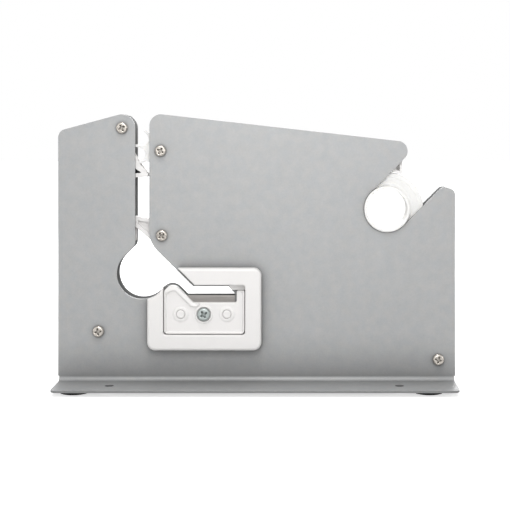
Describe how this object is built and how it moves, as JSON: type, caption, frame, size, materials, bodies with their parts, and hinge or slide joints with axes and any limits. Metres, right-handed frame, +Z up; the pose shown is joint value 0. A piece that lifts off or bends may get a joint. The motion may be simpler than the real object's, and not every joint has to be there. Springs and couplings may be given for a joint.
{
  "type": "bag neck sealer",
  "caption": "Bench device that tapes a twisted bag neck shut as it is pushed down a slot between two bent steel plates, with a tape hub and a fixed neck trimmer.",
  "frame": {"origin": "middle of the foot bottoms' plane, midway between the two side plates and their ends", "axes": "+X along the plates towards the tape hub, +Y from the trimmer side to the back, +Z up"},
  "size_m": [0.26, 0.071, 0.1788],
  "materials": {
    "plate_paint": "fine mottled silver-grey powder coat, satin",
    "white_plastic": "white moulded plastic, satin",
    "plated_steel": "bright nickel plate",
    "blade_steel": "ground blade steel",
    "spring_steel": "drawn wire",
    "black_rubber": "matt black rubber"
  },
  "bodies": {
    "frame": {"front_plate": "plate_paint", "rear_plate": "plate_paint", "spacer_posts": "plated_steel", "gate_post": "plated_steel", "star_post": "plated_steel", "lower_post": "plated_steel", "front_screws": "plated_steel", "rear_screws": "plated_steel", "rubber_feet": "black_rubber", "stop_studs": "plated_steel", "latch_stud": "plated_steel", "gate_spring": "spring_steel", "lower_spring": "spring_steel", "latch_spring": "spring_steel", "trimmer_housing": "white_plastic", "housing_screws": "plated_steel", "blade_holder": "white_plastic", "trimmer_blade": "blade_steel", "locating_pins": "white_plastic", "holder_screw": "plated_steel", "clinch_nut": "plated_steel"},
    "gate": {"gate_lever": "white_plastic", "barb_plate": "blade_steel", "tape_knife": "blade_steel"},
    "lower": {"lower_lever": "white_plastic"},
    "star": {"star_wheel": "white_plastic"},
    "hub": {"hub_tube": "white_plastic"},
    "drum": {"drum_front": "white_plastic", "drum_rear": "white_plastic"},
    "latch": {"hub_latch": "white_plastic"}
  },
  "joints": [
    {"name": "hub_lift", "type": "slide", "parent": "frame", "child": "hub", "axis": [0.7071, 0, 0.7071], "range_m": [0, 0.026]},
    {"name": "drum_spin", "type": "hinge", "parent": "hub", "child": "drum", "pos_m": [0.0854, 0, 0.1167], "axis": [0, 1, 0], "continuous": true},
    {"name": "latch_swing", "type": "hinge", "parent": "frame", "child": "latch", "pos_m": [0.0858, 0, 0.1564], "axis": [0, 1, 0], "range_deg": [-138, 0.5], "deforming": ["latch_spring"]},
    {"name": "gate_swing", "type": "hinge", "parent": "frame", "child": "gate", "pos_m": [-0.0882, 0, 0.1698], "axis": [0, 1, 0], "range_deg": [0, 16], "stiffness_Nm_per_rad": 0.05, "springref_deg": -20.05, "deforming": ["gate_spring"]},
    {"name": "lower_swing", "type": "hinge", "parent": "frame", "child": "lower", "pos_m": [-0.0621, 0, 0.0994], "axis": [0, 1, 0], "range_deg": [-85, 0], "stiffness_Nm_per_rad": 0.02, "springref_deg": 28.65, "deforming": ["lower_spring"]},
    {"name": "star_spin", "type": "hinge", "parent": "frame", "child": "star", "pos_m": [-0.0629, 0, 0.1548], "axis": [0, 1, 0], "continuous": true}
  ],
  "couplings": [
    {"joint": "latch_swing", "follows": "hub_lift", "rad_per_m": -92}
  ]
}
